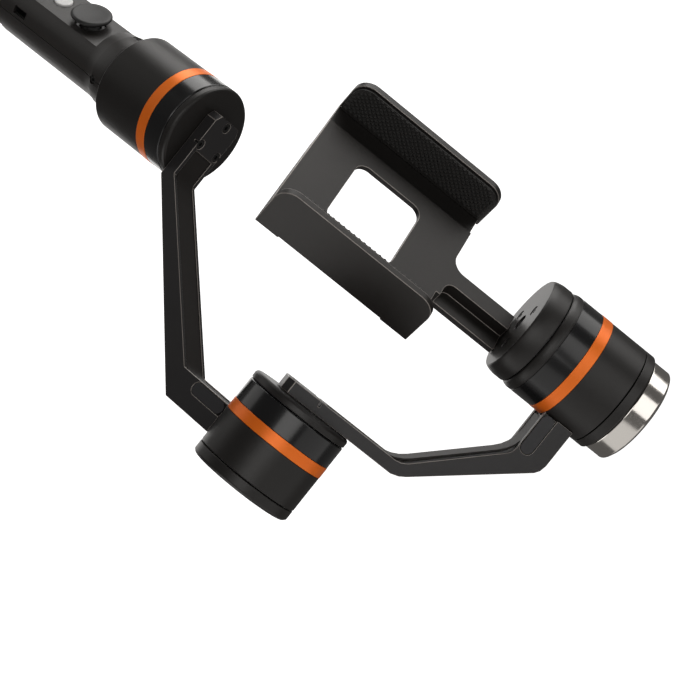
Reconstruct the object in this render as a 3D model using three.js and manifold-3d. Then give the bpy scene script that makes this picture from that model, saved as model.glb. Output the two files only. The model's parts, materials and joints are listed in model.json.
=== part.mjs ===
// A three-axis handheld gimbal for a phone: a handle with its controls, a pan motor, a bent arm,
// a roll motor, a second bent arm, a tilt motor with a counterweight, and a sliding phone clamp.
// Millimetres, +Z up. The handle stands on its end cap, whose bottom face is centred on the origin,
// the pan axis is the Z axis and the control panel faces -Y.

import * as THREE from 'three';
import { mergeVertices } from 'three/addons/utils/BufferGeometryUtils.js';
import Module from 'manifold-3d';

const wasm = await Module();
wasm.setup();

// ---- Driving dimensions -------------------------------------------------------------------

const GAP = 0.3; // between neighbouring pieces
const OUTER_SIDES = 32; // facets of a motor casing or the handle
const INNER_SIDES = 20; // facets of the small turned pieces inside

const MOTOR_RADIUS = 21.8;
const CAP_THICKNESS = 3.4;
const CENTRE_HEIGHT = 330; // where the pan and roll axes cross
const PAN_CAP_DROP = 112; // from that crossing down to the pan cap's face
const ROLL_CAP_DROP = 57.2; // from that crossing back to the roll cap's face
const TILT_OFFSET = 17.6; // from that crossing along the roll axis to the tilt axis
const TILT_CAP_DROP = 44.85; // from the roll axis along the tilt axis to the tilt cap's face

const PAN_ANGLE = THREE.MathUtils.degToRad(-134.6); // direction of the roll axis about the handle
const ROLL_ANGLE = THREE.MathUtils.degToRad(36);
const TILT_ANGLE = THREE.MathUtils.degToRad(-42);

const CAP_HEIGHT = 12; // end cap of the handle
const GRIP_TOP = 96.2;
const HEAD_BOTTOM = 98;
const HEAD_TOP = 172.7;
const GRIP_RADIUS = 15;
const HEAD_RADIUS = 15.6;
const COLLAR_RADIUS = 16.6;
const PANEL_DEPTH = 12; // from the handle's axis to the flat control panel
const PANEL_TOP = 157.5;
const SPLIT_Y = -2; // where the two halves of the head meet
const JOYSTICK_HEIGHT = 141.2;
const POWER_HEIGHT = 122.5;
const USB_HEIGHT = 112;

const ARM_WIDTH = 18;
const COVER_WIDTH = 13.1;
const FOOT_THICKNESS = 5.2;
const SCREW_SPOTS = [[-7.8, 0], [3.8, 6.9], [3.8, -6.9]]; // the three screws in an arm's foot

const PLATE_FRONT = -9.3; // front face of the clamp plate, behind the tilt axis
const PLATE_THICKNESS = 2.4;
const PLATE_BACK_BOX = 8.2; // plate, sliding base and back cover together
const PLATE_LOW = -27.4; // outer face of the fixed jaw
const PLATE_HIGH = 31; // edge that the sliding jaw leaves from
const PLATE_FREE_END = -57.5;
const PLATE_STEM_END = 13;
const JAW_FACE = 43; // where the sliding jaw's wall starts
const JAW_WALL = 2.8;
const WALL_TOP = 6;
const PAD = 1.6; // thickness of a jaw's rubber pad
const BOX_SIDE = 2.5; // thickness of the two sides behind the plate
const BOX_HIGH = 22; // where those sides stop and the sliding jaw's wide base starts
const JAW_BASE = 3.2;
const JAW_TRAVEL = 18;
const LEG_END = -14; // inner end of the sliding jaw's legs
const SPRING = { low: 9.5, high: 20.5, axis: 2.8 }; // the jaw's return spring, closed up
const WINDOW = { low: -11.6, high: 23.3, free: -38.4, stem: -7.5, corner: 5 };

// ---- Colours and finishes -----------------------------------------------------------------

const FINISH = {
  satinBlack: { color: 0x1b1a1a, roughness: 0.5, metalness: 0.6 },
  glossBlack: { color: 0x0c0c0d, roughness: 0.2, metalness: 0.5 },
  coverBlack: { color: 0x111112, roughness: 0.6, metalness: 0.2 },
  plasticBlack: { color: 0x19191a, roughness: 0.65, metalness: 0 },
  rubber: { color: 0x151516, roughness: 0.9, metalness: 0 },
  orange: { color: 0xe8641b, roughness: 0.35, metalness: 0.7 },
  chrome: { color: 0xd8d4ce, roughness: 0.15, metalness: 1 },
  steel: { color: 0xa9aaac, roughness: 0.35, metalness: 1 },
  darkSteel: { color: 0x2a2a2b, roughness: 0.4, metalness: 0.9 },
  copper: { color: 0xb5683a, roughness: 0.4, metalness: 0.9 },
  magnet: { color: 0x6c6e70, roughness: 0.4, metalness: 0.9 },
  white: { color: 0xdcdcda, roughness: 0.4, metalness: 0 },
  board: { color: 0x14532d, roughness: 0.6, metalness: 0.1 },
  cell: { color: 0x2f5f8f, roughness: 0.5, metalness: 0.1 },
};

// ---- Geometry helpers ---------------------------------------------------------------------

// Keeps position only and turns the faces outward.
function tidy(geometry) {
  geometry.deleteAttribute('normal');
  geometry.deleteAttribute('uv');
  const merged = mergeVertices(geometry, 1e-4);
  const index = merged.index.array;
  const a = new THREE.Vector3();
  const b = new THREE.Vector3();
  const c = new THREE.Vector3();
  const position = merged.attributes.position;
  let volume = 0;
  for (let i = 0; i < index.length; i += 3) {
    a.fromBufferAttribute(position, index[i]);
    b.fromBufferAttribute(position, index[i + 1]);
    c.fromBufferAttribute(position, index[i + 2]);
    volume += a.dot(b.cross(c));
  }
  if (volume < 0) {
    for (let i = 0; i < index.length; i += 3) {
      [index[i + 1], index[i + 2]] = [index[i + 2], index[i + 1]];
    }
  }
  return merged;
}

function toSolid(geometry) {
  const clean = tidy(geometry);
  return new wasm.Manifold(new wasm.Mesh({
    numProp: 3,
    vertProperties: new Float32Array(clean.attributes.position.array),
    triVerts: new Uint32Array(clean.index.array),
  }));
}

function fromSolid(solid) {
  const mesh = solid.getMesh();
  const geometry = new THREE.BufferGeometry();
  geometry.setAttribute('position', new THREE.BufferAttribute(mesh.vertProperties, 3));
  geometry.setIndex(new THREE.BufferAttribute(mesh.triVerts, 1));
  return geometry;
}

// A body with some others joined to it and some cut out of it.
function combine(base, { add = [], cut = [] }) {
  let solid = toSolid(base);
  for (const piece of add) solid = solid.add(toSolid(piece));
  for (const piece of cut) solid = solid.subtract(toSolid(piece));
  return fromSolid(solid);
}

// A closed profile of [radius, height] points turned about the Z axis.
function turned(profile, sides = OUTER_SIDES) {
  const points = profile.map(([radius, height]) => new THREE.Vector2(radius, height));
  points.push(points[0].clone());
  return new THREE.LatheGeometry(points, sides).rotateX(Math.PI / 2);
}

function tube(outer, inner, low, high, sides = INNER_SIDES) {
  return turned([[inner, low], [outer, low], [outer, high], [inner, high]], sides);
}

function rod(radius, low, high, sides = INNER_SIDES) {
  return new THREE.CylinderGeometry(radius, radius, high - low, sides)
    .rotateX(Math.PI / 2)
    .translate(0, 0, (low + high) / 2);
}

function block([x0, x1], [y0, y1], [z0, z1]) {
  return new THREE.BoxGeometry(x1 - x0, y1 - y0, z1 - z0)
    .translate((x0 + x1) / 2, (y0 + y1) / 2, (z0 + z1) / 2);
}

function roundedRectangle([x0, x1], [y0, y1], radius) {
  const shape = new THREE.Shape();
  shape.moveTo(x0 + radius, y0);
  shape.absarc(x1 - radius, y0 + radius, radius, -Math.PI / 2, 0);
  shape.absarc(x1 - radius, y1 - radius, radius, 0, Math.PI / 2);
  shape.absarc(x0 + radius, y1 - radius, radius, Math.PI / 2, Math.PI);
  shape.absarc(x0 + radius, y0 + radius, radius, Math.PI, 1.5 * Math.PI);
  return shape;
}

function extruded(shape, depth, curveSegments = 5) {
  return new THREE.ExtrudeGeometry(shape, { depth, bevelEnabled: false, curveSegments });
}

function polygon(points) {
  return new THREE.Shape(points.map(([x, y]) => new THREE.Vector2(x, y)));
}

// An outline in the XZ plane given a thickness along Y.
function slab(shape, [y0, y1], curveSegments = 5) {
  return extruded(shape, y1 - y0, curveSegments).rotateX(Math.PI / 2).translate(0, y1, 0);
}

// An outline whose x runs along Z and whose y runs along Y, given a thickness along X.
function wall(shape, [x0, x1], curveSegments = 5) {
  return extruded(shape, x1 - x0, curveSegments).rotateY(-Math.PI / 2).translate(x1, 0, 0);
}

// The line beside a bent line, at one distance from it (to its left when positive).
function beside(points, distance) {
  const normals = points.slice(1).map((point, i) => {
    const along = new THREE.Vector2(point[0] - points[i][0], point[1] - points[i][1]).normalize();
    return new THREE.Vector2(-along.y, along.x);
  });
  return points.map(([x, y], i) => {
    const before = normals[Math.max(i - 1, 0)];
    const after = normals[Math.min(i, normals.length - 1)];
    const middle = before.clone().add(after).normalize();
    const reach = distance / middle.dot(before);
    return [x + middle.x * reach, y + middle.y * reach];
  });
}

// The same line with a curve of one radius in place of each bend.
function eased(points, radius, steps = 4) {
  return points.flatMap(([x, y], i) => {
    if (i === 0 || i === points.length - 1) return [[x, y]];
    const corner = new THREE.Vector2(x, y);
    const back = new THREE.Vector2(...points[i - 1]).sub(corner).normalize();
    const on = new THREE.Vector2(...points[i + 1]).sub(corner).normalize();
    const half = Math.acos(THREE.MathUtils.clamp(back.dot(on), -1, 1)) / 2;
    const run = radius / Math.tan(half);
    const start = corner.clone().addScaledVector(back, run);
    const end = corner.clone().addScaledVector(on, run);
    return Array.from({ length: steps + 1 }, (_, k) => {
      const t = k / steps;
      const first = start.clone().lerp(corner, t);
      return first.lerp(corner.clone().lerp(end, t), t).toArray();
    });
  });
}

function band(points, near, far) {
  return polygon([...beside(points, near), ...beside(points, far).reverse()]);
}

function mesh(name, geometry, finish) {
  const piece = new THREE.Mesh(tidy(geometry), new THREE.MeshStandardMaterial(FINISH[finish]));
  piece.name = name;
  return piece;
}

// ---- Motors ---------------------------------------------------------------------------------
// Every motor is drawn on the Z axis with its cap's face at height 0 and its casing below.

const BORE = { shaft: 3.2, hollow: 1.7, boss: 7, bearing: 5.7, seat: 6 };

function motorCasing({ seam, ringTop, ringBottom, floor, chamfer }) {
  const top = -seam - GAP;
  const inner = MOTOR_RADIUS - 2.3;
  const groove = MOTOR_RADIUS - 0.9;
  return turned([
    [BORE.seat, floor],
    [MOTOR_RADIUS - chamfer, floor],
    [MOTOR_RADIUS, floor + chamfer],
    [MOTOR_RADIUS, ringBottom],
    [groove, ringBottom],
    [groove, ringTop],
    [MOTOR_RADIUS, ringTop],
    [MOTOR_RADIUS, top - 0.4],
    [MOTOR_RADIUS - 0.4, top],
    [inner, top],
    [inner, floor + 3],
    [BORE.boss, floor + 3],
    [BORE.boss, ringTop - 1],
    [BORE.seat, ringTop - 1],
  ]);
}

function motorRing({ ringTop, ringBottom }) {
  const slack = 0.15;
  return tube(MOTOR_RADIUS + 0.1, MOTOR_RADIUS - 0.7, ringBottom + slack, ringTop - slack, OUTER_SIDES);
}

// A laminated core with twelve wound teeth.
function motorStator({ ringTop, ringBottom }) {
  const teeth = 12;
  const shape = new THREE.Shape();
  for (let i = 0; i < teeth; i += 1) {
    const centre = (i / teeth) * Math.PI * 2;
    [[10, -0.15], [14.6, -0.15], [14.6, 0.15], [10, 0.15]].forEach(([radius, offset], corner) => {
      const angle = centre + offset;
      const place = [radius * Math.cos(angle), radius * Math.sin(angle)];
      if (i === 0 && corner === 0) shape.moveTo(...place);
      else shape.lineTo(...place);
    });
  }
  shape.closePath();
  const hole = new THREE.Path();
  hole.absarc(0, 0, BORE.boss + GAP, 0, Math.PI * 2, true);
  shape.holes.push(hole);
  return extruded(shape, ringTop - ringBottom + 2, 12).translate(0, 0, ringBottom - 3);
}

// The magnet bell that turns round the stator, with a web under the cap.
function motorRotor({ seam, ringTop, ringBottom }) {
  const top = -seam - GAP;
  return turned([
    [BORE.shaft + GAP, top],
    [MOTOR_RADIUS - 2.8, top],
    [MOTOR_RADIUS - 2.8, ringBottom - 3],
    [15.2, ringBottom - 3],
    [15.2, top - 1.6],
    [BORE.shaft + GAP, top - 1.6],
  ], INNER_SIDES);
}

function motorBearing({ ringTop }) {
  return tube(BORE.bearing, BORE.shaft + GAP, ringTop - 6, ringTop - 1.5);
}

function motorShaft({ floor }) {
  return tube(BORE.shaft, BORE.hollow, floor + 0.8, -0.8, 16);
}

function motorPieces(prefix, size) {
  return {
    fixed: [
      mesh(`${prefix}_motor_housing`, motorCasing(size), 'satinBlack'),
      mesh(`${prefix}_motor_ring`, motorRing(size), 'orange'),
      mesh(`${prefix}_stator`, motorStator(size), 'copper'),
      mesh(`${prefix}_bearing`, motorBearing(size), 'steel'),
    ],
    turning: [
      mesh(`${prefix}_rotor`, motorRotor(size), 'magnet'),
      mesh(`${prefix}_shaft`, motorShaft(size), 'steel'),
    ],
  };
}

// A flat cap with a small rounded rim, a cable hole and three blind screw holes.
function flatCap() {
  const radius = MOTOR_RADIUS;
  const disc = turned([
    [BORE.shaft + GAP, -CAP_THICKNESS],
    [radius - 0.3, -CAP_THICKNESS],
    [radius, -CAP_THICKNESS + 0.3],
    [radius, -1.1],
    [radius - 0.4, -0.4],
    [radius - 1.2, 0],
    [BORE.shaft + GAP, 0],
  ]);
  const holes = SCREW_SPOTS.map(([x, y]) => rod(1.4, -2.8, 1, 10).translate(x, y, 0));
  return combine(disc, { cut: holes });
}

const PAN_SIZE = { seam: CAP_THICKNESS, ringTop: -12.4, ringBottom: -17.6, floor: -45, chamfer: 1.4 };
const ROLL_SIZE = { seam: CAP_THICKNESS, ringTop: -13, ringBottom: -17.9, floor: -33.5, chamfer: 0.3 };
const TILT_SIZE = { seam: 8.6, ringTop: -22.5, ringBottom: -27.4, floor: -44, chamfer: 0.3 };

function endCover(size, thickness, chamfer) {
  const top = size.floor - GAP;
  return turned([
    [0, top - thickness],
    [MOTOR_RADIUS - chamfer, top - thickness],
    [MOTOR_RADIUS, top - thickness + chamfer],
    [MOTOR_RADIUS, top],
    [0, top],
  ]);
}

// ---- Arms -----------------------------------------------------------------------------------
// An arm is drawn with its foot on a cap's face at height 0, centred on the motor's axis, and
// runs out along +X, slopes up, then stands upright to meet the next motor's casing.

const ARM_1 = {
  name: 'arm_1',
  footEnd: -10.4,
  outer: [[22.5, 0.3], [87.8, 67.3]],
  inner: [[19.3, 5.5], [74.8, 66]],
  bridge: 9,
  seatHeight: PAN_CAP_DROP,
};

const ARM_2 = {
  name: 'arm_2',
  footEnd: -11.6,
  outer: [[40.5, 0.3], [43.6, 1.3], [46.2, 3], [83.2, 33.8], [84.6, 35.8], [85.2, 38.6]],
  inner: [[38.8, 5.5], [41.2, 6], [43.6, 7.4], [70.4, 33.6], [71.5, 35.2], [71.9, 37.4]],
  bridge: 16,
  seatHeight: ROLL_CAP_DROP + TILT_OFFSET,
};

const COVER_STEP = 6.9; // from the motor's axis to where the raised foot pad ends

function armPieces(size) {
  const { name, footEnd, outer, inner, bridge, seatHeight } = size;
  const outerX = outer.at(-1)[0];
  const innerX = inner.at(-1)[0];
  const half = ARM_WIDTH / 2;
  const foot = GAP + FOOT_THICKNESS;
  const end = seatHeight - 17;
  const outline = polygon([
    [footEnd, GAP],
    ...outer,
    [outerX, end],
    [innerX, end],
    ...[...inner].reverse(),
    [footEnd, foot],
  ]);
  const innerLine = [[COVER_STEP, foot], ...inner, [innerX, end]];
  const seat = rod(MOTOR_RADIUS + 0.35, innerX - 6, outerX + 6, OUTER_SIDES)
    .rotateY(Math.PI / 2)
    .translate(0, 0, seatHeight);
  const corners = [1, -1].map((side) => extruded(polygon([
    [footEnd - 1, side * (half + 1)],
    [footEnd - 1, side * (half - 3)],
    [footEnd, side * (half - 2)],
    [footEnd + 3, side * half],
    [footEnd + 3, side * (half + 1)],
  ]), foot + 1));
  const counterbores = SCREW_SPOTS.flatMap(([x, y]) => [
    rod(2.2, foot - 2.2, foot + 1, 12).translate(x, y, 0),
    rod(1.4, 0, foot, 10).translate(x, y, 0),
  ]);
  const channel = slab(band(innerLine, -1.4, 1), [-COVER_WIDTH / 2 - GAP, COVER_WIDTH / 2 + GAP]);
  const inlaySpan = [innerX + 0.6, innerX + 5.8];
  const inlayLow = seatHeight - 37.5;
  const inlayHigh = seatHeight - 20.6;
  const pocket = slab(
    roundedRectangle([inlaySpan[0] - 0.2, inlaySpan[1] + 0.2], [inlayLow - 0.2, end + 2], 2.7),
    [-half - 1, -half + 1.1],
  );
  const body = combine(slab(outline, [-half, half]), {
    cut: [seat, ...corners, ...counterbores, channel, pocket],
  });

  const coverEnd = seatHeight - MOTOR_RADIUS - 0.9;
  const ends = [inner[0], inner.at(-1)];
  const coverLine = eased([[COVER_STEP + GAP, foot], ...ends, [innerX, coverEnd]], bridge);
  const cover = slab(band(coverLine, -1.15, -0.4), [-COVER_WIDTH / 2, COVER_WIDTH / 2]);
  const inlay = slab(roundedRectangle(inlaySpan, [inlayLow, inlayHigh], 2.5), [-half, -half + 0.8]);

  const screws = SCREW_SPOTS.map(([x, y], i) => {
    const head = rod(1.95, foot - 1.9, foot - 0.2, 12);
    const shank = rod(1.1, -2.4, foot - 1.8, 10);
    const socket = rod(1, foot - 1.1, foot + 1, 6);
    const screw = combine(head, { add: [shank], cut: [socket] }).translate(x, y, 0);
    return mesh(`${name}_screw_${i + 1}`, screw, 'darkSteel');
  });

  return [
    mesh(name, body, 'satinBlack'),
    mesh(`${name}_cable_cover`, cover, 'coverBlack'),
    mesh(`${name}_side_inlay`, inlay, 'coverBlack'),
    ...screws,
  ];
}

// ---- Handle ---------------------------------------------------------------------------------

const BATTERY = { radius: 9.2, low: 19, high: 84 };
const SPIGOT_RADIUS = 10.9; // the grip tube's end inside the head
const SPIGOT_TOP = GRIP_TOP + 7.8;
const TUBE_BORE = 9.6;
const SEAL_GROOVE = 12; // inner radius of the seal's groove in the end cap

function gripTube() {
  return turned([
    [TUBE_BORE, CAP_HEIGHT + GAP],
    [GRIP_RADIUS - 0.5, CAP_HEIGHT + GAP],
    [GRIP_RADIUS, CAP_HEIGHT + 0.8],
    [GRIP_RADIUS, GRIP_TOP - 0.5],
    [GRIP_RADIUS - 0.5, GRIP_TOP],
    [SPIGOT_RADIUS, GRIP_TOP],
    [SPIGOT_RADIUS, SPIGOT_TOP],
    [TUBE_BORE, SPIGOT_TOP],
  ]);
}

// The end cap, with a hollow threaded spigot inside the tube and a flat bottom.
function batteryCap() {
  return turned([
    [0, 0],
    [GRIP_RADIUS - 1, 0],
    [GRIP_RADIUS, 1],
    [GRIP_RADIUS, CAP_HEIGHT - 0.3],
    [GRIP_RADIUS - 0.3, CAP_HEIGHT],
    [14.4, CAP_HEIGHT],
    [14.4, CAP_HEIGHT - 1.7],
    [SEAL_GROOVE, CAP_HEIGHT - 1.7],
    [SEAL_GROOVE, CAP_HEIGHT],
    [9.3, CAP_HEIGHT],
    [9.3, CAP_HEIGHT + 6],
    [7.3, CAP_HEIGHT + 6],
    [7.3, CAP_HEIGHT - 6],
    [0, CAP_HEIGHT - 6],
  ]);
}

// The whole head before it is split: round, with a flat panel milled below the collar.
function headBlank() {
  const inner = 12.5;
  const shoulder = SPIGOT_TOP + 1;
  const skin = 1.8;
  const outside = turned([
    [SPIGOT_RADIUS + GAP, HEAD_BOTTOM],
    [HEAD_RADIUS - 0.4, HEAD_BOTTOM],
    [HEAD_RADIUS, HEAD_BOTTOM + 0.4],
    [HEAD_RADIUS, PANEL_TOP],
    [COLLAR_RADIUS - 0.4, PANEL_TOP + 5],
    [COLLAR_RADIUS, PANEL_TOP + 6],
    [COLLAR_RADIUS, HEAD_TOP],
    [6.5, HEAD_TOP],
    [6.5, HEAD_TOP - 3],
    [inner, HEAD_TOP - 3],
    [inner, shoulder],
    [SPIGOT_RADIUS + GAP, shoulder],
  ]);
  const behindPanel = block([-9, 9], [-PANEL_DEPTH, -PANEL_DEPTH + skin], [shoulder - 0.5, PANEL_TOP + 2]);
  const panel = block([-20, 20], [-40, -PANEL_DEPTH], [HEAD_BOTTOM - 1, PANEL_TOP]);
  return combine(outside, { add: [behindPanel], cut: [panel] });
}

function headHalf(blank, front, cut = []) {
  const away = front ? [SPLIT_Y - GAP / 2, 30] : [-30, SPLIT_Y + GAP / 2];
  return combine(blank, { cut: [block([-30, 30], away, [HEAD_BOTTOM - 1, HEAD_TOP + 1]), ...cut] });
}

// Turns a piece drawn upright on Z so that it points out of the control panel, along -Y.
function facingPanel(geometry, height) {
  return geometry.rotateX(Math.PI / 2).translate(0, 0, height);
}

const USB = { angle: THREE.MathUtils.degToRad(-19.5), length: 7.6, width: 2.9 };

function usbPort() {
  const shell = block([9.6, 14.6], [-USB.width / 2, USB.width / 2], [-USB.length / 2, USB.length / 2]);
  const mouth = block([10.6, 16], [-USB.width / 2 + 0.35, USB.width / 2 - 0.35],
    [-USB.length / 2 + 0.35, USB.length / 2 - 0.35]);
  const tongue = block([10, 14], [-0.35, 0.35], [-2.4, 2.4]);
  return combine(shell, { cut: [mouth], add: [tongue] })
    .rotateZ(USB.angle)
    .translate(0, 0, USB_HEIGHT);
}

// A small screw whose head sits in the side of the collar.
function collarScrew(angle) {
  const head = rod(1.6, 14.9, 16.1, 14);
  const shank = rod(0.9, 13, 15, 10);
  const socket = rod(0.8, 15.5, 17, 6);
  return combine(head, { add: [shank], cut: [socket] })
    .rotateY(Math.PI / 2)
    .rotateZ(angle)
    .translate(0, 0, HEAD_TOP - 8);
}

function collarScrewHole(angle) {
  const hole = combine(rod(1.9, 14.6, 20, 14), { add: [rod(1.2, 11, 15, 10)] });
  return hole.rotateY(Math.PI / 2).rotateZ(angle).translate(0, 0, HEAD_TOP - 8);
}

function handlePieces() {
  const screwAngles = [THREE.MathUtils.degToRad(-7), THREE.MathUtils.degToRad(-110)];
  const screwHoles = screwAngles.map(collarScrewHole);
  const blank = headBlank();
  const joystickHole = facingPanel(rod(6.6, 8, 20), JOYSTICK_HEIGHT);
  const buttonHole = facingPanel(rod(4.3, 8, 20), POWER_HEIGHT);
  const usbHole = block([8, 20], [-USB.width / 2 - 0.2, USB.width / 2 + 0.2],
    [-USB.length / 2 - 0.2, USB.length / 2 + 0.2]).rotateZ(USB.angle).translate(0, 0, USB_HEIGHT);

  const stick = turned([
    [0, 8.6], [4.4, 8.6], [4.4, 9.4], [2.4, 9.8], [2.4, 13.2], [7.4, 14.3], [8.7, 15],
    [8.8, 15.9], [7.9, 16.6], [4.5, 16.1], [0, 15.9],
  ]);
  const cradle = tube(6.2, 4.8, 8.4, 10.4);
  const board = block([-8, 8], [-5.6, -4.2], [HEAD_BOTTOM + 8, PANEL_TOP - 2]);
  const contact = combine(tube(9.2, 4.5, BATTERY.high + 2.2, BATTERY.high + 3.8), {
    add: [tube(5.5, 4.5, BATTERY.high + 0.4, BATTERY.high + 3)],
  });

  return [
    mesh('grip_tube', gripTube(), 'rubber'),
    mesh('grip_ring', tube(14.2, SPIGOT_RADIUS + GAP, GRIP_TOP + GAP, HEAD_BOTTOM - GAP, OUTER_SIDES),
      'darkSteel'),
    mesh('battery_cap', batteryCap(), 'satinBlack'),
    mesh('cap_seal',
      tube(14.2, SEAL_GROOVE + 0.2, CAP_HEIGHT - 1.5, CAP_HEIGHT + 0.15, OUTER_SIDES), 'rubber'),
    mesh('battery_cell', rod(BATTERY.radius, BATTERY.low, BATTERY.high), 'cell'),
    mesh('battery_contact', contact, 'steel'),
    mesh('head_back_shell', headHalf(blank, false, screwHoles), 'satinBlack'),
    mesh('head_front_shell', headHalf(blank, true, [joystickHole, buttonHole, usbHole, ...screwHoles]),
      'satinBlack'),
    mesh('control_board', board, 'board'),
    mesh('usb_port', usbPort(), 'darkSteel'),
    mesh('power_button', facingPanel(rod(4, 9.4, 12.8), POWER_HEIGHT), 'white'),
    mesh('joystick_cap', facingPanel(stick, JOYSTICK_HEIGHT), 'plasticBlack'),
    mesh('joystick_cradle', facingPanel(cradle, JOYSTICK_HEIGHT), 'darkSteel'),
    ...screwAngles.map((angle, i) => mesh(`collar_screw_${i + 1}`, collarScrew(angle), 'darkSteel')),
  ];
}

// ---- Tilt cap, counterweight and clamp ------------------------------------------------------
// The clamp is drawn with Z along the tilt axis towards the tilt motor, X across the phone from
// the fixed jaw to the sliding jaw, and Y out of the plate towards the phone.

const STEM = { low: -5.5, middle: 2.5, high: 10.3, back: -17.5, floor: -14.8 };
const TENON = { x: [-4.5, 8], y: [-16.8, -14.9], depth: 2.5 }; // of the stem, in the tilt cap
const CAP_SCREW_SPOTS = [[0, 9.5], [8.2, -4.75], [-8.2, -4.75]];

// The thick stepped cap of the tilt motor, with a pocket for the clamp's stem.
function tiltCap() {
  const body = turned([
    [BORE.shaft + GAP, -8.6],
    [20.6, -8.6],
    [20.6, -8.2],
    [21.2, -8.2],
    [21.2, -4.2],
    [20.8, -2],
    [20.3, -0.5],
    [19.8, 0],
    [BORE.shaft + GAP, 0],
  ]);
  const holes = CAP_SCREW_SPOTS.flatMap(([x, y]) => [
    rod(2.2, -2.4, 1, 12).translate(x, -y, 0),
    rod(1.4, -6.4, 0, 10).translate(x, -y, 0),
  ]);
  const pocket = block(
    [TENON.x[0] - GAP, TENON.x[1] + GAP],
    [-TENON.y[1] - GAP, -TENON.y[0] + GAP],
    [-TENON.depth - GAP, 1],
  );
  return combine(body, { cut: [...holes, pocket] });
}

function capScrew([x, y]) {
  const head = rod(1.95, -2.1, -0.3, 12);
  const shank = rod(1.1, -6, -2, 10);
  const socket = rod(1, -1.2, 1, 6);
  return combine(head, { add: [shank], cut: [socket] }).translate(x, -y, 0);
}

function counterweight() {
  const top = TILT_SIZE.floor - GAP - 4.2 - GAP;
  return turned([
    [0, top - 9.4],
    [18.2, top - 9.4],
    [20.6, top - 8],
    [20.6, top - 0.4],
    [20.2, top],
    [0, top],
  ]);
}

// A jaw wall's outline: x runs along Z and y out of the plate, with its two free corners rounded.
function jawOutline(low, free, stem) {
  const radius = 7.5;
  const shape = new THREE.Shape();
  shape.moveTo(free, low);
  shape.lineTo(stem, low);
  shape.absarc(stem - radius, WALL_TOP - radius, radius, 0, Math.PI / 2);
  shape.absarc(free + radius, WALL_TOP - radius, radius, Math.PI / 2, Math.PI);
  shape.closePath();
  return shape;
}

// The plate, its box sides, the fixed jaw's wall and the stem with its raised rail, in one piece.
function clampBracket() {
  const back = PLATE_FRONT - PLATE_BACK_BOX;
  const under = PLATE_FRONT - PLATE_THICKNESS;
  const stemTip = TILT_CAP_DROP - GAP;
  const fillet = 6;
  const plate = new THREE.Shape();
  plate.moveTo(PLATE_LOW, PLATE_FREE_END);
  plate.lineTo(PLATE_HIGH, PLATE_FREE_END);
  plate.lineTo(PLATE_HIGH, PLATE_STEM_END);
  plate.lineTo(PLATE_LOW, PLATE_STEM_END);
  plate.closePath();
  plate.holes.push(
    roundedRectangle([WINDOW.low, WINDOW.high], [WINDOW.free, WINDOW.stem], WINDOW.corner),
  );
  const rail = new THREE.Shape();
  rail.moveTo(STEM.low, PLATE_STEM_END - BOX_SIDE);
  rail.lineTo(STEM.high + fillet, PLATE_STEM_END - BOX_SIDE);
  rail.lineTo(STEM.high + fillet, PLATE_STEM_END);
  rail.absarc(STEM.high + fillet, PLATE_STEM_END + fillet, fillet, -Math.PI / 2, -Math.PI, true);
  rail.lineTo(STEM.high, stemTip);
  rail.lineTo(STEM.middle, stemTip);
  rail.absarc(STEM.middle - 4, PLATE_STEM_END + 6, 4, 0, -Math.PI / 2, true);
  rail.lineTo(STEM.low, PLATE_STEM_END + 2);
  rail.closePath();
  const stemFloor = block([STEM.low, STEM.high], [STEM.back, STEM.floor], [PLATE_STEM_END - 1, stemTip]);
  const tenon = block(TENON.x, TENON.y, [stemTip - 1, TILT_CAP_DROP + TENON.depth]);
  const boxSides = [[PLATE_FREE_END, PLATE_FREE_END + BOX_SIDE], [PLATE_STEM_END - BOX_SIDE, PLATE_STEM_END]]
    .map((span) => block([PLATE_LOW + 1, BOX_HIGH], [back, under + 0.5], span));
  const jawWall = wall(jawOutline(back, PLATE_FREE_END, PLATE_STEM_END + 1.2), [PLATE_LOW, PLATE_LOW + 2.8]);
  const foldRecess = block([PLATE_LOW - 1, PLATE_LOW + 4], [back - 1, back + 0.6], [-46.8, 1.6]);
  return combine(slab(plate, [under, PLATE_FRONT]), {
    add: [slab(rail, [STEM.back, PLATE_FRONT]), stemFloor, tenon, ...boxSides, jawWall],
    cut: [foldRecess],
  });
}

// Closes the box behind the plate; a U that leaves the window clear.
function clampBackCover() {
  const back = PLATE_FRONT - PLATE_BACK_BOX;
  const span = [PLATE_FREE_END + BOX_SIDE + GAP, PLATE_STEM_END - BOX_SIDE - GAP];
  const low = PLATE_LOW + 2.8 + GAP;
  return combine(block([low, BOX_HIGH], [back + 0.1, back + 1.9], span), {
    cut: [block([WINDOW.low - 2, BOX_HIGH + 1], [back - 1, back + 3], [WINDOW.free - 3, WINDOW.stem + 3])],
  });
}

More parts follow.
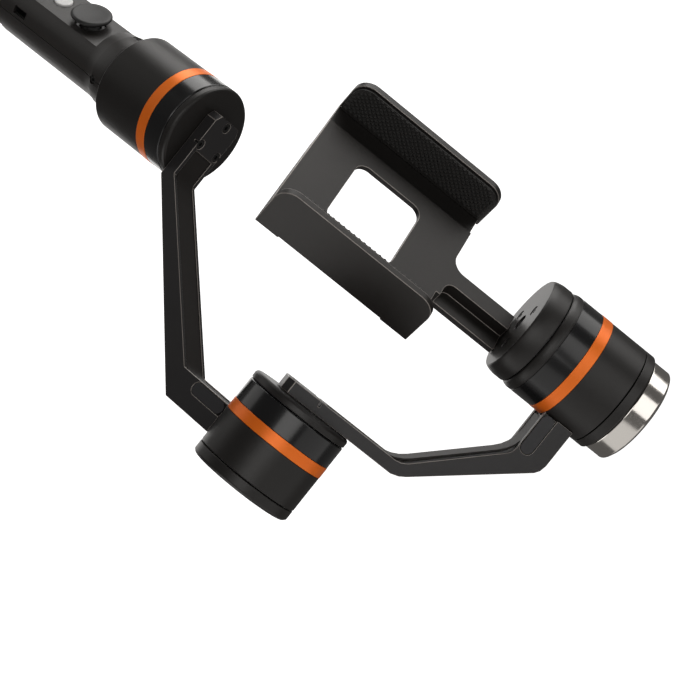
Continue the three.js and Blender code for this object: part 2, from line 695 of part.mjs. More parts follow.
// The sliding jaw: a wide base with two legs that run under the plate, and its wall.
function slidingJaw() {
  const top = PLATE_FRONT - PLATE_THICKNESS - GAP;
  const bottom = top - JAW_BASE;
  const inside = [PLATE_FREE_END + BOX_SIDE + GAP, PLATE_STEM_END - BOX_SIDE - GAP];
  const base = polygon([
    [BOX_HIGH + GAP, PLATE_FREE_END],
    [JAW_FACE + JAW_WALL, PLATE_FREE_END],
    [JAW_FACE + JAW_WALL, PLATE_STEM_END],
    [BOX_HIGH + GAP, PLATE_STEM_END],
    [BOX_HIGH + GAP, inside[1]],
    [LEG_END, inside[1]],
    [LEG_END, WINDOW.stem + 3],
    [WINDOW.high + 5, WINDOW.stem + 3],
    [WINDOW.high + 5, WINDOW.free - 3],
    [LEG_END, WINDOW.free - 3],
    [LEG_END, inside[0]],
    [BOX_HIGH + GAP, inside[0]],
  ]);
  const jawWall = wall(jawOutline(bottom, PLATE_FREE_END, PLATE_STEM_END + 1.4),
    [JAW_FACE, JAW_FACE + JAW_WALL]);
  const springSlot = block([SPRING.low - 0.5 - JAW_TRAVEL, SPRING.high + 0.5],
    [bottom - 1, top - 0.5], [SPRING.axis - 1.6, SPRING.axis + 1.6]);
  return combine(slab(base, [bottom, top]), { add: [jawWall], cut: [springSlot] });
}

// The rubber pad on the inside of a jaw's wall.
function jawPad([x0, x1], low, free, stem) {
  const radius = 6.5;
  const top = WALL_TOP - 1;
  const shape = new THREE.Shape();
  shape.moveTo(free, low);
  shape.lineTo(stem, low);
  shape.absarc(stem - radius, top - radius, radius, 0, Math.PI / 2);
  shape.absarc(free + radius, top - radius, radius, Math.PI / 2, Math.PI);
  shape.closePath();
  return wall(shape, [x0, x1]);
}

function clampPieces() {
  const padLow = PLATE_LOW + 2.8 + GAP;
  const springHeight = PLATE_FRONT - PLATE_THICKNESS - GAP - JAW_BASE / 2 - 0.4;
  const spring = rod(1.1, SPRING.low, SPRING.high, 12)
    .rotateY(Math.PI / 2)
    .translate(0, springHeight, SPRING.axis);
  return [
    mesh('clamp_bracket', clampBracket(), 'satinBlack'),
    mesh('clamp_back_cover', clampBackCover(), 'plasticBlack'),
    mesh('sliding_jaw', slidingJaw(), 'satinBlack'),
    mesh('jaw_spring', spring, 'steel'),
    mesh('fixed_jaw_pad', jawPad([padLow, padLow + PAD], PLATE_FRONT + GAP, -56.3, 11.8), 'rubber'),
    mesh('sliding_jaw_pad', jawPad([JAW_FACE - GAP - PAD, JAW_FACE - GAP], -11.7, -56.6, 13.5), 'rubber'),
  ];
}

// ---- Assembly -------------------------------------------------------------------------------

function group(children, place = [0, 0, 0]) {
  const result = new THREE.Group();
  result.add(...children);
  result.position.set(...place);
  return result;
}

// Stands a motor and its arm, drawn on Z, on the roll axis: Z to X and X to the arm's direction.
function onRollAxis(object) {
  const basis = new THREE.Matrix4().makeBasis(
    new THREE.Vector3(0, 0, 1),
    new THREE.Vector3(0, -1, 0),
    new THREE.Vector3(1, 0, 0),
  );
  object.quaternion.setFromRotationMatrix(basis);
  return object;
}

const panMotor = motorPieces('pan', PAN_SIZE);
const rollMotor = motorPieces('roll', ROLL_SIZE);
const tiltMotor = motorPieces('tilt', TILT_SIZE);

// Turns with the clamp about the tilt axis.
const tiltTurning = group([
  mesh('tilt_cap', tiltCap(), 'satinBlack'),
  ...CAP_SCREW_SPOTS.map((spot, i) => mesh(`tilt_cap_screw_${i + 1}`, capScrew(spot), 'darkSteel')),
  ...tiltMotor.turning,
], [0, 0, TILT_CAP_DROP]);
tiltTurning.rotation.x = Math.PI;
const tiltGroup = group([tiltTurning, ...clampPieces()], [TILT_OFFSET, 0, 0]);
tiltGroup.rotation.z = TILT_ANGLE;

// Turns with the second arm about the roll axis.
const rollTurning = onRollAxis(group([
  mesh('roll_cap', flatCap(), 'satinBlack'),
  ...rollMotor.turning,
  ...armPieces(ARM_2),
], [-ROLL_CAP_DROP, 0, 0]));
const tiltFixed = group([
  ...tiltMotor.fixed,
  mesh('tilt_end_cover', endCover(TILT_SIZE, 4.2, 0.4), 'satinBlack'),
  mesh('counterweight', counterweight(), 'chrome'),
], [TILT_OFFSET, 0, TILT_CAP_DROP]);
tiltFixed.rotation.x = Math.PI;
const rollGroup = group([rollTurning, tiltFixed, tiltGroup]);
rollGroup.rotation.x = ROLL_ANGLE;

// Turns with the first arm about the pan axis.
const panTurning = group([
  mesh('pan_cap', flatCap(), 'satinBlack'),
  ...panMotor.turning,
  ...armPieces(ARM_1),
], [0, 0, -PAN_CAP_DROP]);
panTurning.rotation.z = Math.PI;
const rollFixed = onRollAxis(group([
  ...rollMotor.fixed,
  mesh('roll_end_cover', endCover(ROLL_SIZE, 4.8, 1), 'satinBlack'),
], [-ROLL_CAP_DROP, 0, 0]));
const panGroup = group([panTurning, rollFixed, rollGroup], [0, 0, CENTRE_HEIGHT]);
panGroup.rotation.z = PAN_ANGLE;

const gimbal = group([
  ...handlePieces(),
  group(panMotor.fixed, [0, 0, CENTRE_HEIGHT - PAN_CAP_DROP]),
  panGroup,
]);

export default gimbal;
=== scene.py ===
import json
import math

import bpy
import bmesh
from mathutils import Matrix, Vector


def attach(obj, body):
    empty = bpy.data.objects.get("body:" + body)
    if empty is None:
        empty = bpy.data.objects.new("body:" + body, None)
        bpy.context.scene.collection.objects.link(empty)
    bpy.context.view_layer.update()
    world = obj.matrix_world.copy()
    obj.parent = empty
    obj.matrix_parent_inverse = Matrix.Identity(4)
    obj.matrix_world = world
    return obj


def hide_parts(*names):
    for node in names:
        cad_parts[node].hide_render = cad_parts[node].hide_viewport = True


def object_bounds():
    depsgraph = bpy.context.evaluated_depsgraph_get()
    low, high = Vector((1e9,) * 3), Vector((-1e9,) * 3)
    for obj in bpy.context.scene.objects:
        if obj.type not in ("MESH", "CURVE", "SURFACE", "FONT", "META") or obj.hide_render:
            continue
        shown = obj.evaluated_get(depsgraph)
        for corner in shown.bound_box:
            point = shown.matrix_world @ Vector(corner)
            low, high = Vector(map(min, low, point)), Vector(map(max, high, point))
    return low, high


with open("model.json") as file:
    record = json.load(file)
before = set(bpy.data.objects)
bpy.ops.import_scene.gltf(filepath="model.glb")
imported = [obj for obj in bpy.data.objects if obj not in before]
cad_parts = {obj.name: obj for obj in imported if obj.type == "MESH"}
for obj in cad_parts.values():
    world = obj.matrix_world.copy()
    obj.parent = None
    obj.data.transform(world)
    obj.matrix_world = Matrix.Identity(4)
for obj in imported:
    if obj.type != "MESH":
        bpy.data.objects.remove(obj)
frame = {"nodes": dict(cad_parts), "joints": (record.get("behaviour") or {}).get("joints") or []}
cad_box = [list(corner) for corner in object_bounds()]
nodes = frame["nodes"]
joints = {joint["name"]: joint for joint in frame["joints"]}

# The looks of a three-axis handheld phone gimbal. Round pieces are rebuilt as smooth lathe
# meshes, the jaws' pads get their knurling, and the other nodes get fine edges and finishes.
# Lengths are in millimetres where they describe a piece, and MM turns them into metres.

MM = 0.001
SEAM = 0.3  # gap between two pieces
MOTOR_RADIUS = 21.8

# ---- Frames of the motors and the clamp -----------------------------------------------------

PAN_CAP_DROP = 112  # from the crossing of the pan and roll axes down to the pan cap's face
ROLL_CAP_DROP = 57.2  # from that crossing back to the roll cap's face
TILT_CAP_DROP = 44.85  # from the roll axis along the tilt axis to the tilt cap's face


def axes(origin, x, z):
    """A frame at a point in metres, from its X and Z directions."""
    z = Vector(z).normalized()
    y = z.cross(Vector(x)).normalized()
    x = y.cross(z)
    turn = Matrix((x, y, z)).transposed().to_4x4()
    return Matrix.Translation(origin) @ turn


CENTRE = Vector(joints["pan_spin"]["pos_m"])  # where the pan and roll axes cross
TILT_CENTRE = Vector(joints["tilt_spin"]["pos_m"])
ROLL_AXIS = Vector(joints["roll_spin"]["axis"])
TILT_AXIS = Vector(joints["tilt_spin"]["axis"])
JAW_AXIS = Vector(joints["jaw_slide"]["axis"])

PAN = Matrix.Translation(CENTRE - Vector((0, 0, PAN_CAP_DROP * MM)))
ROLL = axes(CENTRE - ROLL_AXIS * ROLL_CAP_DROP * MM, (0, 0, 1), ROLL_AXIS)
TILT = axes(TILT_CENTRE + TILT_AXIS * TILT_CAP_DROP * MM, ROLL_AXIS, -TILT_AXIS)
CLAMP = axes(TILT_CENTRE, JAW_AXIS, TILT_AXIS)
UPRIGHT = Matrix.Identity(4)


def on_panel(height):
    """A frame at a height on the handle's axis, whose Z points out of the control panel."""
    return axes((0, 0, height * MM), (1, 0, 0), (0, -1, 0))


# ---- Materials ------------------------------------------------------------------------------

MOTTLE_LIFT = 1.35  # how much lighter the second colour is, where none is given
GRAIN_DEPTH = 0.1 * MM
COAT_ROUGHNESS = 0.12


def material(name, colour, rough, metal=0.0, second=None, mottle=90.0, grain=2600.0, bump=0.08,
             rough_spread=0.06, coat=0.0, specular=0.5):
    """A finish with a slow colour change, uneven gloss and a fine surface grain."""
    made = bpy.data.materials.new(name)
    made.use_nodes = True
    tree = made.node_tree
    shader = tree.nodes["Principled BSDF"]
    shader.inputs["Metallic"].default_value = metal
    shader.inputs["Coat Weight"].default_value = coat
    shader.inputs["Coat Roughness"].default_value = COAT_ROUGHNESS
    shader.inputs["Specular IOR Level"].default_value = specular

    place = tree.nodes.new("ShaderNodeTexCoord")

    slow = tree.nodes.new("ShaderNodeTexNoise")
    slow.inputs["Scale"].default_value = mottle
    slow.inputs["Detail"].default_value = 4
    tree.links.new(place.outputs["Object"], slow.inputs["Vector"])

    fine = tree.nodes.new("ShaderNodeTexNoise")
    fine.inputs["Scale"].default_value = grain
    fine.inputs["Detail"].default_value = 3
    tree.links.new(place.outputs["Object"], fine.inputs["Vector"])

    tint = tree.nodes.new("ShaderNodeMix")
    tint.data_type = "RGBA"
    tint.inputs["A"].default_value = (*colour, 1)
    tint.inputs["B"].default_value = (*(second or [part * MOTTLE_LIFT for part in colour]), 1)
    tree.links.new(slow.outputs["Fac"], tint.inputs["Factor"])
    tree.links.new(tint.outputs["Result"], shader.inputs["Base Color"])

    gloss = tree.nodes.new("ShaderNodeMapRange")
    gloss.inputs["To Min"].default_value = rough - rough_spread
    gloss.inputs["To Max"].default_value = rough + rough_spread
    tree.links.new(fine.outputs["Fac"], gloss.inputs["Value"])
    tree.links.new(gloss.outputs["Result"], shader.inputs["Roughness"])

    relief = tree.nodes.new("ShaderNodeBump")
    relief.inputs["Strength"].default_value = bump
    relief.inputs["Distance"].default_value = GRAIN_DEPTH
    tree.links.new(fine.outputs["Fac"], relief.inputs["Height"])
    tree.links.new(relief.outputs["Normal"], shader.inputs["Normal"])
    return made


SATIN = material("satin_black", (0.0110, 0.0098, 0.0090), 0.40, 0.15, grain=3200, bump=0.16)
ARM = material("arm_grey", (0.0190, 0.0180, 0.0186), 0.44, 0.15, grain=3200, bump=0.18)
GLOSS = material("gloss_black", (0.006, 0.006, 0.0065), 0.22, 0.2, grain=1500, bump=0.02,
                 rough_spread=0.03, coat=0.3)
BRACKET = material("bracket_grey", (0.0125, 0.0106, 0.0094), 0.42, 0.15, grain=3600, bump=0.2,
                   specular=0.42)
COVER = material("cover_grey", (0.0105, 0.0088, 0.0078), 0.60, grain=3000, bump=0.28,
                 specular=0.35)
INLAY = material("inlay_grey", (0.022, 0.022, 0.024), 0.55, 0.1, grain=3000, bump=0.2)
SHELL = material("shell_grey", (0.0150, 0.0132, 0.0122), 0.42, grain=3800, bump=0.22)
RUBBER = material("black_rubber", (0.0135, 0.0125, 0.0118), 0.52, grain=1800, bump=0.25)
STICK = material("stick_rubber", (0.012, 0.012, 0.012), 0.50, grain=3000, bump=0.25)
ORANGE = material("orange_anodised", (1.0, 0.16, 0.008), 0.36, 0.30, (1.0, 0.23, 0.012),
                  mottle=25, grain=2400, bump=0.06)
CHROME = material("chrome", (0.72, 0.69, 0.65), 0.13, 1.0, (0.80, 0.77, 0.73), mottle=30,
                  grain=900, bump=0.02, rough_spread=0.04)
# A lighter colour for rounded edges: a painted highlight along the edges.
PAINTED_EDGE_HIGHLIGHT = material("painted_edge_highlight", (0.22, 0.20, 0.185), 0.30, 0.4, grain=2600, bump=0.1)
STEEL = material("steel", (0.42, 0.42, 0.43), 0.32, 1.0, grain=1500, bump=0.1)
DARK_STEEL = material("dark_steel", (0.05, 0.05, 0.05), 0.34, 0.9, grain=2200, bump=0.1)
WHITE = material("white_plastic", (0.62, 0.62, 0.62), 0.35, 0.0, (0.68, 0.68, 0.67), mottle=60,
                 grain=2600, bump=0.05)
COPPER = material("winding", (0.45, 0.18, 0.07), 0.42, 0.9, grain=1400, bump=0.3)
MAGNET = material("magnet_steel", (0.15, 0.15, 0.16), 0.42, 0.9, grain=1800, bump=0.15)
BOARD = material("board", (0.01, 0.08, 0.03), 0.55, 0.0, (0.015, 0.11, 0.04), mottle=500,
                 grain=1500, bump=0.2)
CELL = material("cell", (0.03, 0.09, 0.22), 0.45, grain=1500, bump=0.1)

# ---- Mesh helpers ---------------------------------------------------------------------------

TURNED_STEPS = 128  # round a lathe mesh
MERGE_DISTANCE = 0.0001  # of a new mesh's points
WELD_DISTANCE = 0.002  # of a CAD node's points
FLAT_ANGLE = 0.4  # degrees between CAD facets that count as one face
CAD_EDGE_ANGLE = 30  # degrees, the least that counts as an edge on a CAD node
TURNED_EDGE_ANGLE = 18  # and on a lathe mesh

CAST_EDGE = 0.22  # widths of the rounded edges
COVER_EDGE = 0.1
SHELL_EDGE = 0.12
TURNED_EDGE = 0.15
SCREW_EDGE = 0.06
SMALL_SCREW_EDGE = 0.05


def fine_edges(piece, width, least_angle, segments, painted_highlight=False):
    """Rounds a piece's sharp edges. Where asked, the rounded edges get a lighter colour as a
    painted highlight.
    """
    bevel = piece.modifiers.new("edges", "BEVEL")
    # The bevel faces take the lighter edge colour, a painted highlight.
    if painted_highlight:
        piece.data.materials.append(PAINTED_EDGE_HIGHLIGHT)
        bevel.material = 1
    bevel.width = width * MM
    bevel.segments = segments
    bevel.limit_method = "ANGLE"
    bevel.angle_limit = math.radians(least_angle)
    bevel.use_clamp_overlap = False
    bevel.harden_normals = True
    bevel.miter_outer = "MITER_ARC"


def wear(piece, finish):
    """Gives a piece one finish."""
    piece.data.materials.clear()
    piece.data.materials.append(finish)


def dress(name, finish, edge=0.0, least_angle=CAD_EDGE_ANGLE, painted_highlight=False):
    """Keeps a CAD node, and gives it its finish and fine edges, or sharp ones for no width."""
    piece = nodes[name]
    wear(piece, finish)
    normals = piece.data.attributes.get("custom_normal")
    if normals:
        piece.data.attributes.remove(normals)
    piece.data.shade_smooth()
    weld = piece.modifiers.new("weld", "WELD")
    weld.merge_threshold = WELD_DISTANCE * MM
    flat = piece.modifiers.new("flat", "DECIMATE")
    flat.decimate_type = "DISSOLVE"
    flat.angle_limit = math.radians(FLAT_ANGLE)
    if edge:
        fine_edges(piece, edge, least_angle, 2, painted_highlight)
    else:
        split = piece.modifiers.new("split", "EDGE_SPLIT")
        split.split_angle = math.radians(least_angle)


def shape(name, bm, place, finish, body, stands_for):
    """A new piece from a mesh in millimetres, on its body and in place of a CAD node."""
    bmesh.ops.remove_doubles(bm, verts=bm.verts, dist=MERGE_DISTANCE)
    bmesh.ops.recalc_face_normals(bm, faces=bm.faces)
    bmesh.ops.transform(bm, matrix=place @ Matrix.Scale(MM, 4), verts=bm.verts)
    data = bpy.data.meshes.new(name)
    bm.to_mesh(data)
    bm.free()
    data.shade_smooth()
    piece = bpy.data.objects.new(name, data)
    bpy.context.scene.collection.objects.link(piece)
    wear(piece, finish)
    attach(piece, body)
    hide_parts(stands_for)
    return piece


def turned(name, profile, place, finish, body, stands_for, edge=TURNED_EDGE):
    """A closed profile of (radius, height) points turned about a frame's Z axis."""
    bm = bmesh.new()
    turns = []
    for step in range(TURNED_STEPS):
        angle = 2 * math.pi * step / TURNED_STEPS
        x, y = math.cos(angle), math.sin(angle)
        turns.append([bm.verts.new((radius * x, radius * y, height)) for radius, height in profile])
    for step, here in enumerate(turns):
        ahead = turns[(step + 1) % TURNED_STEPS]
        for i, _ in enumerate(profile):
            k = (i + 1) % len(profile)
            if profile[i][0] == 0 and profile[k][0] == 0:
                continue  # a stretch along the axis sweeps no face
            bm.faces.new((here[i], ahead[i], ahead[k], here[k]))
    piece = shape(name, bm, place, finish, body, stands_for)
    if edge:
        fine_edges(piece, edge, TURNED_EDGE_ANGLE, 3)
    return piece


# ---- Motors ---------------------------------------------------------------------------------

CAP_THICKNESS = 3.4
COLLAR_GROOVE = (-13.1, -12.8)  # low and high side of the groove under the tilt motor's collar

# Heights are measured from the face of each motor's cap. "seam" is where the cap ends.
MOTORS = {
    "pan": {
        "place": PAN, "body": "handle", "seam": -CAP_THICKNESS, "ring": (-17.6, -12.4),
        "floor": -45.0, "chamfer": 1.4, "gloss_top": 0, "edge": 0.12,
    },
    "roll": {
        "place": ROLL, "body": "pan_arm", "seam": -CAP_THICKNESS, "ring": (-17.9, -13.0),
        "floor": -33.5, "chamfer": 0.3, "gloss_top": 0, "edge": 0.12,
    },
    "tilt": {
        "place": TILT, "body": "roll_arm", "seam": -8.6, "ring": (-27.4, -22.5),
        "floor": -44.0, "chamfer": 0.3, "gloss_top": COLLAR_GROOVE[0], "edge": 0.05,
    },
}

PLAIN_LIP = [(0, -0.4), (-0.4, 0)]  # a casing's rim, from its radius and its top
COLLAR_LIP = [  # a rounded collar over a fine groove
    (0, -4.3), (-0.3, -4.2), (-0.3, -3.9), (0, -3.8),
    (0, -2.3), (-0.25, -1.3), (-0.7, -0.4), (-1.1, 0),
]
WALL = 2.3
RING_GROOVE = 0.9  # depth of the groove that holds the ring
FLOOR_THICKNESS = 3
BEARING_SEAT = 6.0  # radius of the seat in the casing's boss
BOSS_RADIUS = 7.0


def casing_profile(seam, ring, floor, chamfer, lip):
    """A casing open at its top, with a ring groove outside and a bearing boss inside."""
    top = seam - SEAM
    ring_bottom, ring_top = ring
    inner = MOTOR_RADIUS - WALL
    groove = MOTOR_RADIUS - RING_GROOVE
    inner_floor = floor + FLOOR_THICKNESS
    return [
        (BEARING_SEAT, floor), (MOTOR_RADIUS - chamfer, floor), (MOTOR_RADIUS, floor + chamfer),
        (MOTOR_RADIUS, ring_bottom), (groove, ring_bottom), (groove, ring_top),
        (MOTOR_RADIUS, ring_top), *[(MOTOR_RADIUS + out, top + up) for out, up in lip],
        (inner, top), (inner, inner_floor), (BOSS_RADIUS, inner_floor),
        (BOSS_RADIUS, ring_top - 1), (BEARING_SEAT, ring_top - 1),
    ]


def ring_profile(ring):
    """The coloured ring, which stands a little proud of the casing."""
    low = ring[0] + SEAM / 2
    high = ring[1] - SEAM / 2
    inner = MOTOR_RADIUS - 0.7
    outer = MOTOR_RADIUS + 0.1
    return [(inner, low), (outer, low), (outer, high), (inner, high)]


def polish_band(casing, place, low, high):
    """Gives the outside of a casing a glossy band between two heights."""
    casing.data.materials.append(GLOSS)
    inverse = place.inverted()
    for face in casing.data.polygons:
        local = inverse @ face.center / MM
        on_band = low < local.z < high and local.xy.length > MOTOR_RADIUS - 1
        face.material_index = int(on_band)


for motor, size in MOTORS.items():
    place = size["place"]
    body = size["body"]
    ring = size["ring"]
    lip = COLLAR_LIP if motor == "tilt" else PLAIN_LIP
    profile = casing_profile(size["seam"], ring, size["floor"], size["chamfer"], lip)
    casing = turned(f"{motor}_motor_case", profile, place, SATIN, body,
                    f"{motor}_motor_housing", size["edge"])
    polish_band(casing, place, ring[1], size["gloss_top"])
    turned(f"{motor}_motor_band", ring_profile(ring), place, ORANGE, body,
           f"{motor}_motor_ring", 0.12)
    dress(f"{motor}_stator", COPPER)
    dress(f"{motor}_bearing", STEEL)
    dress(f"{motor}_rotor", MAGNET)
    dress(f"{motor}_shaft", STEEL)

CAP_BORE = 3.5
CAP_PROFILE = [
    (CAP_BORE, -CAP_THICKNESS), (MOTOR_RADIUS - 0.3, -CAP_THICKNESS),
    (MOTOR_RADIUS, 0.3 - CAP_THICKNESS), (MOTOR_RADIUS, -1.1), (MOTOR_RADIUS - 0.4, -0.4),
    (MOTOR_RADIUS - 1.2, 0), (CAP_BORE, 0),
]
turned("pan_cap_disc", CAP_PROFILE, PAN, SATIN, "pan_arm", "pan_cap")
turned("roll_cap_disc", CAP_PROFILE, ROLL, SATIN, "roll_arm", "roll_cap")


def cover_profile(floor, thickness, chamfer):
    """An end cover, one seam below a casing's floor."""
    top = floor - SEAM
    low = top - thickness
    return [(0, low), (MOTOR_RADIUS - chamfer, low), (MOTOR_RADIUS, low + chamfer),
            (MOTOR_RADIUS, top), (0, top)]


ROLL_COVER = 4.8  # thicknesses of the end covers
TILT_COVER = 4.2
turned("roll_back_disc", cover_profile(MOTORS["roll"]["floor"], ROLL_COVER, 1.0), ROLL, SATIN,
       "pan_arm", "roll_end_cover", 0.3)
turned("tilt_back_disc", cover_profile(MOTORS["tilt"]["floor"], TILT_COVER, 0.4), TILT, SATIN,
       "roll_arm", "tilt_end_cover")

WEIGHT_RADIUS = 20.6
WEIGHT_TOP = MOTORS["tilt"]["floor"] - SEAM - TILT_COVER - SEAM
WEIGHT_LOW = WEIGHT_TOP - 9.4
turned("counterweight_disc", [
    (0, WEIGHT_LOW), (WEIGHT_RADIUS - 3.0, WEIGHT_LOW), (WEIGHT_RADIUS - 2.2, WEIGHT_LOW + 0.15),
    (WEIGHT_RADIUS - 0.3, WEIGHT_LOW + 1.2), (WEIGHT_RADIUS, WEIGHT_LOW + 1.7),
    (WEIGHT_RADIUS, WEIGHT_TOP - 0.4), (WEIGHT_RADIUS - 0.4, WEIGHT_TOP), (0, WEIGHT_TOP),
], TILT, CHROME, "roll_arm", "counterweight", 0.2)

dress("tilt_cap", SATIN, TURNED_EDGE, 22)
for number in (1, 2, 3):
    dress(f"tilt_cap_screw_{number}", DARK_STEEL, SCREW_EDGE)

# ---- Arms and clamp -------------------------------------------------------------------------

# The arms' rounded edges carry a painted highlight.
for arm in ("arm_1", "arm_2"):
    dress(arm, ARM, CAST_EDGE, painted_highlight=True)
    dress(f"{arm}_cable_cover", COVER, COVER_EDGE)
    dress(f"{arm}_side_inlay", INLAY, COVER_EDGE)
    for number in (1, 2, 3):
        dress(f"{arm}_screw_{number}", DARK_STEEL, SCREW_EDGE)

# The bracket's and the sliding jaw's rounded edges carry a painted highlight.
dress("clamp_bracket", BRACKET, CAST_EDGE, painted_highlight=True)
dress("clamp_back_cover", SHELL, 0.2)
dress("sliding_jaw", SATIN, CAST_EDGE, painted_highlight=True)
dress("jaw_spring", STEEL)

PAD_TOP = 5.0  # how far the pads stand out in front of the tilt axis
PAD_BASE = 0.9  # solid thickness under the knurls
PAD_THICKNESS = 1.6
PAD_CORNER = 6.5
CORNER_STEPS = 10
KNURL_PITCH = 2.4
KNURL_MARGIN = 0.4  # from the pad's top down to the middle of the first row
KNURL_LEDGE = 0.02  # smallest distance of a knurl from the pad's top
KNURL_FLAT = 0.22  # size of a knurl's flat tip as a share of its foot


def pad_outline(low, free, stem):
    """The pad's outline as (along the tilt axis, out of the plate) points."""
    points = [(free, low), (stem, low)]
    for middle, start in ((stem - PAD_CORNER, 0), (free + PAD_CORNER, 90)):
        for step in range(CORNER_STEPS + 1):
            angle = math.radians(start + 90 * step / CORNER_STEPS)
            points.append((middle + PAD_CORNER * math.cos(angle),
                           PAD_TOP - PAD_CORNER + PAD_CORNER * math.sin(angle)))
    return points


def inside(points, x, y):
    """Whether a point lies inside a closed outline."""
    hit = False
    for (x0, y0), (x1, y1) in zip(points, points[1:] + points[:1]):
        if (y0 > y) != (y1 > y) and x < (x1 - x0) * (y - y0) / (y1 - y0) + x0:
            hit = not hit
    return hit


def add_knurl(bm, corners, middle, front, tip):
    """One small pyramid with a flat tip, between two distances along the jaw's axis."""
    z, y = middle
    foot = [bm.verts.new((front, cy, cz)) for cz, cy in corners]
    top = [bm.verts.new((tip, y + (cy - y) * KNURL_FLAT, z + (cz - z) * KNURL_FLAT))
           for cz, cy in corners]
    bm.faces.new(top)
    for i, _ in enumerate(corners):
        k = (i + 1) % len(corners)
        bm.faces.new((foot[i], foot[k], top[k], top[i]))


def knurled_pad(name, back, facing, low, free, stem, body, stands_for):
    """A rubber pad with staggered rows of knurls on the side that touches the phone."""
    bm = bmesh.new()
    outline = pad_outline(low, free, stem)
    front = back + facing * PAD_BASE
    tip = back + facing * PAD_THICKNESS
    layers = [[bm.verts.new((x, y, z)) for z, y in outline] for x in (back, front)]
    bm.faces.new(layers[0])
    bm.faces.new(layers[1])
    for i, _ in enumerate(outline):
        k = (i + 1) % len(outline)
        bm.faces.new((layers[0][i], layers[0][k], layers[1][k], layers[1][i]))
    half = KNURL_PITCH / 2
    highest = PAD_TOP - KNURL_LEDGE
    for row in range(int((PAD_TOP - low) / half)):
        y = PAD_TOP - KNURL_MARGIN - row * half
        z = free + half + (row % 2) * half
        while z < stem:
            corners = [(z - half, y), (z, y - half), (z + half, y), (z, min(y + half, highest))]
            if all(inside(outline, *corner) for corner in corners):
                add_knurl(bm, corners, (z, y), front, tip)
            z += KNURL_PITCH
    piece = shape(name, bm, CLAMP, RUBBER, body, stands_for)
    piece.data.shade_flat()


knurled_pad("fixed_jaw_knurls", back=-24.3, facing=1, low=-9.0, free=-56.3, stem=11.8,
            body="clamp", stands_for="fixed_jaw_pad")
knurled_pad("sliding_jaw_knurls", back=42.7, facing=-1, low=-11.7, free=-56.6, stem=13.5,
            body="jaw", stands_for="sliding_jaw_pad")

# ---- Handle ---------------------------------------------------------------------------------

GRIP_RADIUS = 15.0
GRIP_TOP = 96.2
HEAD_BOTTOM = 98.0
END_CAP_HEIGHT = 12.0
TUBE_BORE = 9.6
SPIGOT_RADIUS = 10.9  # the grip tube's end inside the head
SPIGOT_TOP = GRIP_TOP + 7.8
SEAL_GROOVE = (12.0, 14.4)  # inner and outer radius in the end cap
SEAL_GROOVE_FLOOR = END_CAP_HEIGHT - 1.7
PLUG = (7.3, 9.3)  # inner and outer radius of the end cap's plug in the tube
JOYSTICK_HEIGHT = 141.2
POWER_HEIGHT = 122.5

turned("grip_sleeve", [
    (TUBE_BORE, END_CAP_HEIGHT + SEAM), (GRIP_RADIUS - 0.5, END_CAP_HEIGHT + SEAM),
    (GRIP_RADIUS, END_CAP_HEIGHT + 0.8), (GRIP_RADIUS, GRIP_TOP - 0.5),
    (GRIP_RADIUS - 0.5, GRIP_TOP), (SPIGOT_RADIUS, GRIP_TOP), (SPIGOT_RADIUS, SPIGOT_TOP),
    (TUBE_BORE, SPIGOT_TOP),
], UPRIGHT, RUBBER, "handle", "grip_tube")
turned("grip_band", [
    (SPIGOT_RADIUS + SEAM, GRIP_TOP + SEAM), (GRIP_RADIUS - 0.8, GRIP_TOP + SEAM),
    (GRIP_RADIUS - 0.8, HEAD_BOTTOM - SEAM), (SPIGOT_RADIUS + SEAM, HEAD_BOTTOM - SEAM),
], UPRIGHT, DARK_STEEL, "handle", "grip_ring", 0.1)
turned("battery_end_cap", [
    (0, 0), (GRIP_RADIUS - 1, 0), (GRIP_RADIUS, 1), (GRIP_RADIUS, END_CAP_HEIGHT - 0.3),
    (GRIP_RADIUS - 0.3, END_CAP_HEIGHT), (SEAL_GROOVE[1], END_CAP_HEIGHT),
    (SEAL_GROOVE[1], SEAL_GROOVE_FLOOR), (SEAL_GROOVE[0], SEAL_GROOVE_FLOOR),
    (SEAL_GROOVE[0], END_CAP_HEIGHT), (PLUG[1], END_CAP_HEIGHT), (PLUG[1], END_CAP_HEIGHT + 6),
    (PLUG[0], END_CAP_HEIGHT + 6), (PLUG[0], END_CAP_HEIGHT - 6), (0, END_CAP_HEIGHT - 6),
], UPRIGHT, SATIN, "end_cap", "battery_cap", SHELL_EDGE)

# The knob and the key stand out of the panel, so their heights are distances from the handle's
# axis. Their profiles are round enough to need no bevel.
turned("joystick_knob", [
    (0, 8.6), (4.4, 8.6), (4.4, 9.4), (2.4, 9.8), (2.4, 13.2), (6.4, 13.95), (7.6, 14.3),
    (8.5, 14.85), (8.8, 15.4), (8.65, 16.0), (8.2, 16.45), (7.6, 16.5), (6.3, 16.3),
    (4.5, 16.1), (2.4, 15.95), (0, 15.9),
], on_panel(JOYSTICK_HEIGHT), STICK, "joystick", "joystick_cap", 0)
turned("power_key", [
    (0, 9.4), (4.0, 9.4), (4.0, 12.3), (3.9, 12.6), (3.6, 12.78), (3.0, 12.8), (0, 12.8),
], on_panel(POWER_HEIGHT), WHITE, "button", "power_button", 0)

dress("cap_seal", RUBBER)
dress("battery_cell", CELL)
dress("battery_contact", STEEL)
dress("head_back_shell", SHELL, SHELL_EDGE)
dress("head_front_shell", SHELL, SHELL_EDGE)
dress("control_board", BOARD)
dress("usb_port", DARK_STEEL)
dress("joystick_cradle", DARK_STEEL)
dress("collar_screw_1", DARK_STEEL, SMALL_SCREW_EDGE)
dress("collar_screw_2", DARK_STEEL, SMALL_SCREW_EDGE)

# ---- Floor ----------------------------------------------------------------------------------

FLOOR_REACH = 6.0
FLOOR_GAP = 0.5 * MM  # below the object's lowest point

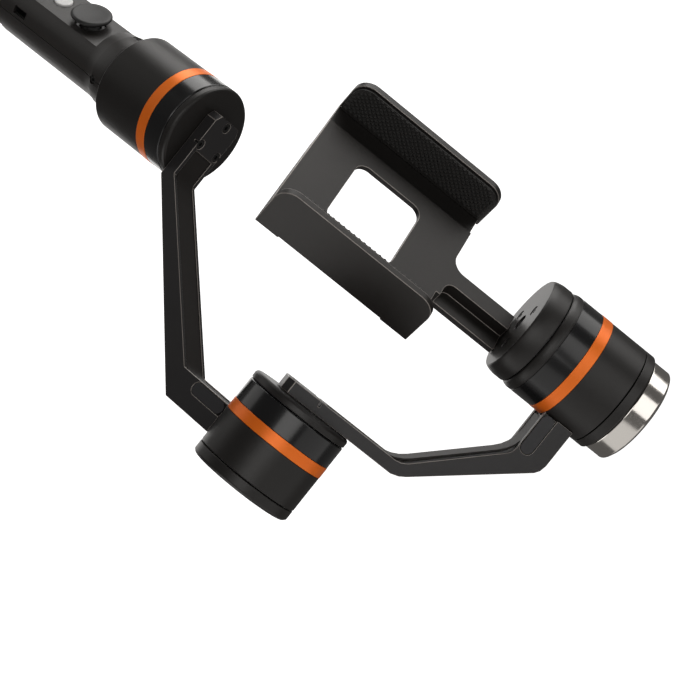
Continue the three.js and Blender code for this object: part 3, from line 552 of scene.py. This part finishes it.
pale = bpy.data.materials.new("pale_floor")
pale.use_nodes = True
pale_shader = pale.node_tree.nodes["Principled BSDF"]
pale_shader.inputs["Base Color"].default_value = (0.9, 0.9, 0.9, 1)
pale_shader.inputs["Roughness"].default_value = 0.9
pale_shader.inputs["Emission Color"].default_value = (1, 1, 1, 1)
pale_shader.inputs["Emission Strength"].default_value = 1.0

floor_data = bpy.data.meshes.new("floor")
floor_data.from_pydata(
    [(-FLOOR_REACH, -FLOOR_REACH, 0), (FLOOR_REACH, -FLOOR_REACH, 0),
     (FLOOR_REACH, FLOOR_REACH, 0), (-FLOOR_REACH, FLOOR_REACH, 0)], [], [(0, 1, 2, 3)])
floor_data.materials.append(pale)
floor_piece = bpy.data.objects.new("floor", floor_data)
floor_piece.location.z = cad_box[0][2] - FLOOR_GAP
bpy.context.scene.collection.objects.link(floor_piece)
# The floor is only a white ground to look at. It lights nothing, reflects in nothing and takes
# no shadow that shows, so the soft lights alone shape the object.
floor_piece.visible_diffuse = False
floor_piece.visible_glossy = False
floor_piece.visible_shadow = False

# ---- Camera ---------------------------------------------------------------------------------

camera_data = bpy.data.cameras.new("camera")
camera_data.sensor_width = 36
camera_data.lens = 97.351
camera_data.clip_start = 0.05
camera = bpy.data.objects.new("camera", camera_data)
bpy.context.scene.collection.objects.link(camera)
camera_right = Vector((-0.71091, -0.17454, 0.68129))
camera_back = Vector((0.61659, -0.62063, 0.48440))
camera_up = camera_back.cross(camera_right)
camera.matrix_world = axes((0.45774, -0.41782, 0.67397), camera_right, camera_back)
bpy.context.scene.camera = camera

# ---- Light ----------------------------------------------------------------------------------

AIM = Vector((0.021, 0.022, 0.331))  # the middle of the arms and the clamp
LAMP_DISTANCE = 0.8
LAMP_COLOUR = (1, 0.985, 0.965)
WORLD_COLOUR = (1, 0.97, 0.94, 1)
WORLD_STRENGTH = 0.11

# Each softbox has its direction, as steps to the camera's right, up and back, its size in metres
# and its power in watts.
SOFTBOXES = {
    "top": ((0.2, 1, -0.2), 0.6, 3.4),
    "top_right": ((1, 1, 0), 0.5, 1.4),
    "low_left": ((-1, -1, 0), 0.5, 1.2),
    "top_left": ((-1, 1, -0.2), 0.5, 0.6),
    "front": ((0, 0, 1), 0.5, 1.5),
    "front_right": ((1, 0, 1), 0.5, 1.0),
    "behind": ((-0.3, 0.3, -1), 0.8, 2.6),
    "low": ((0.2, -1, 0.3), 1.2, 2.6),
}
for name, (steps, size, power) in SOFTBOXES.items():
    lamp = bpy.data.lights.new(name, "AREA")
    lamp.energy = power
    lamp.color = LAMP_COLOUR
    lamp.size = size
    box = bpy.data.objects.new(name, lamp)
    side = (camera_right * steps[0] + camera_up * steps[1] + camera_back * steps[2]).normalized()
    box.matrix_world = axes(AIM + side * LAMP_DISTANCE, side.orthogonal(), side)
    bpy.context.scene.collection.objects.link(box)

world = bpy.data.worlds.new("studio")
bpy.context.scene.world = world
world.use_nodes = True
background = world.node_tree.nodes["Background"]
background.inputs["Color"].default_value = WORLD_COLOUR
background.inputs["Strength"].default_value = WORLD_STRENGTH
bpy.context.scene.view_settings.view_transform = "Standard"
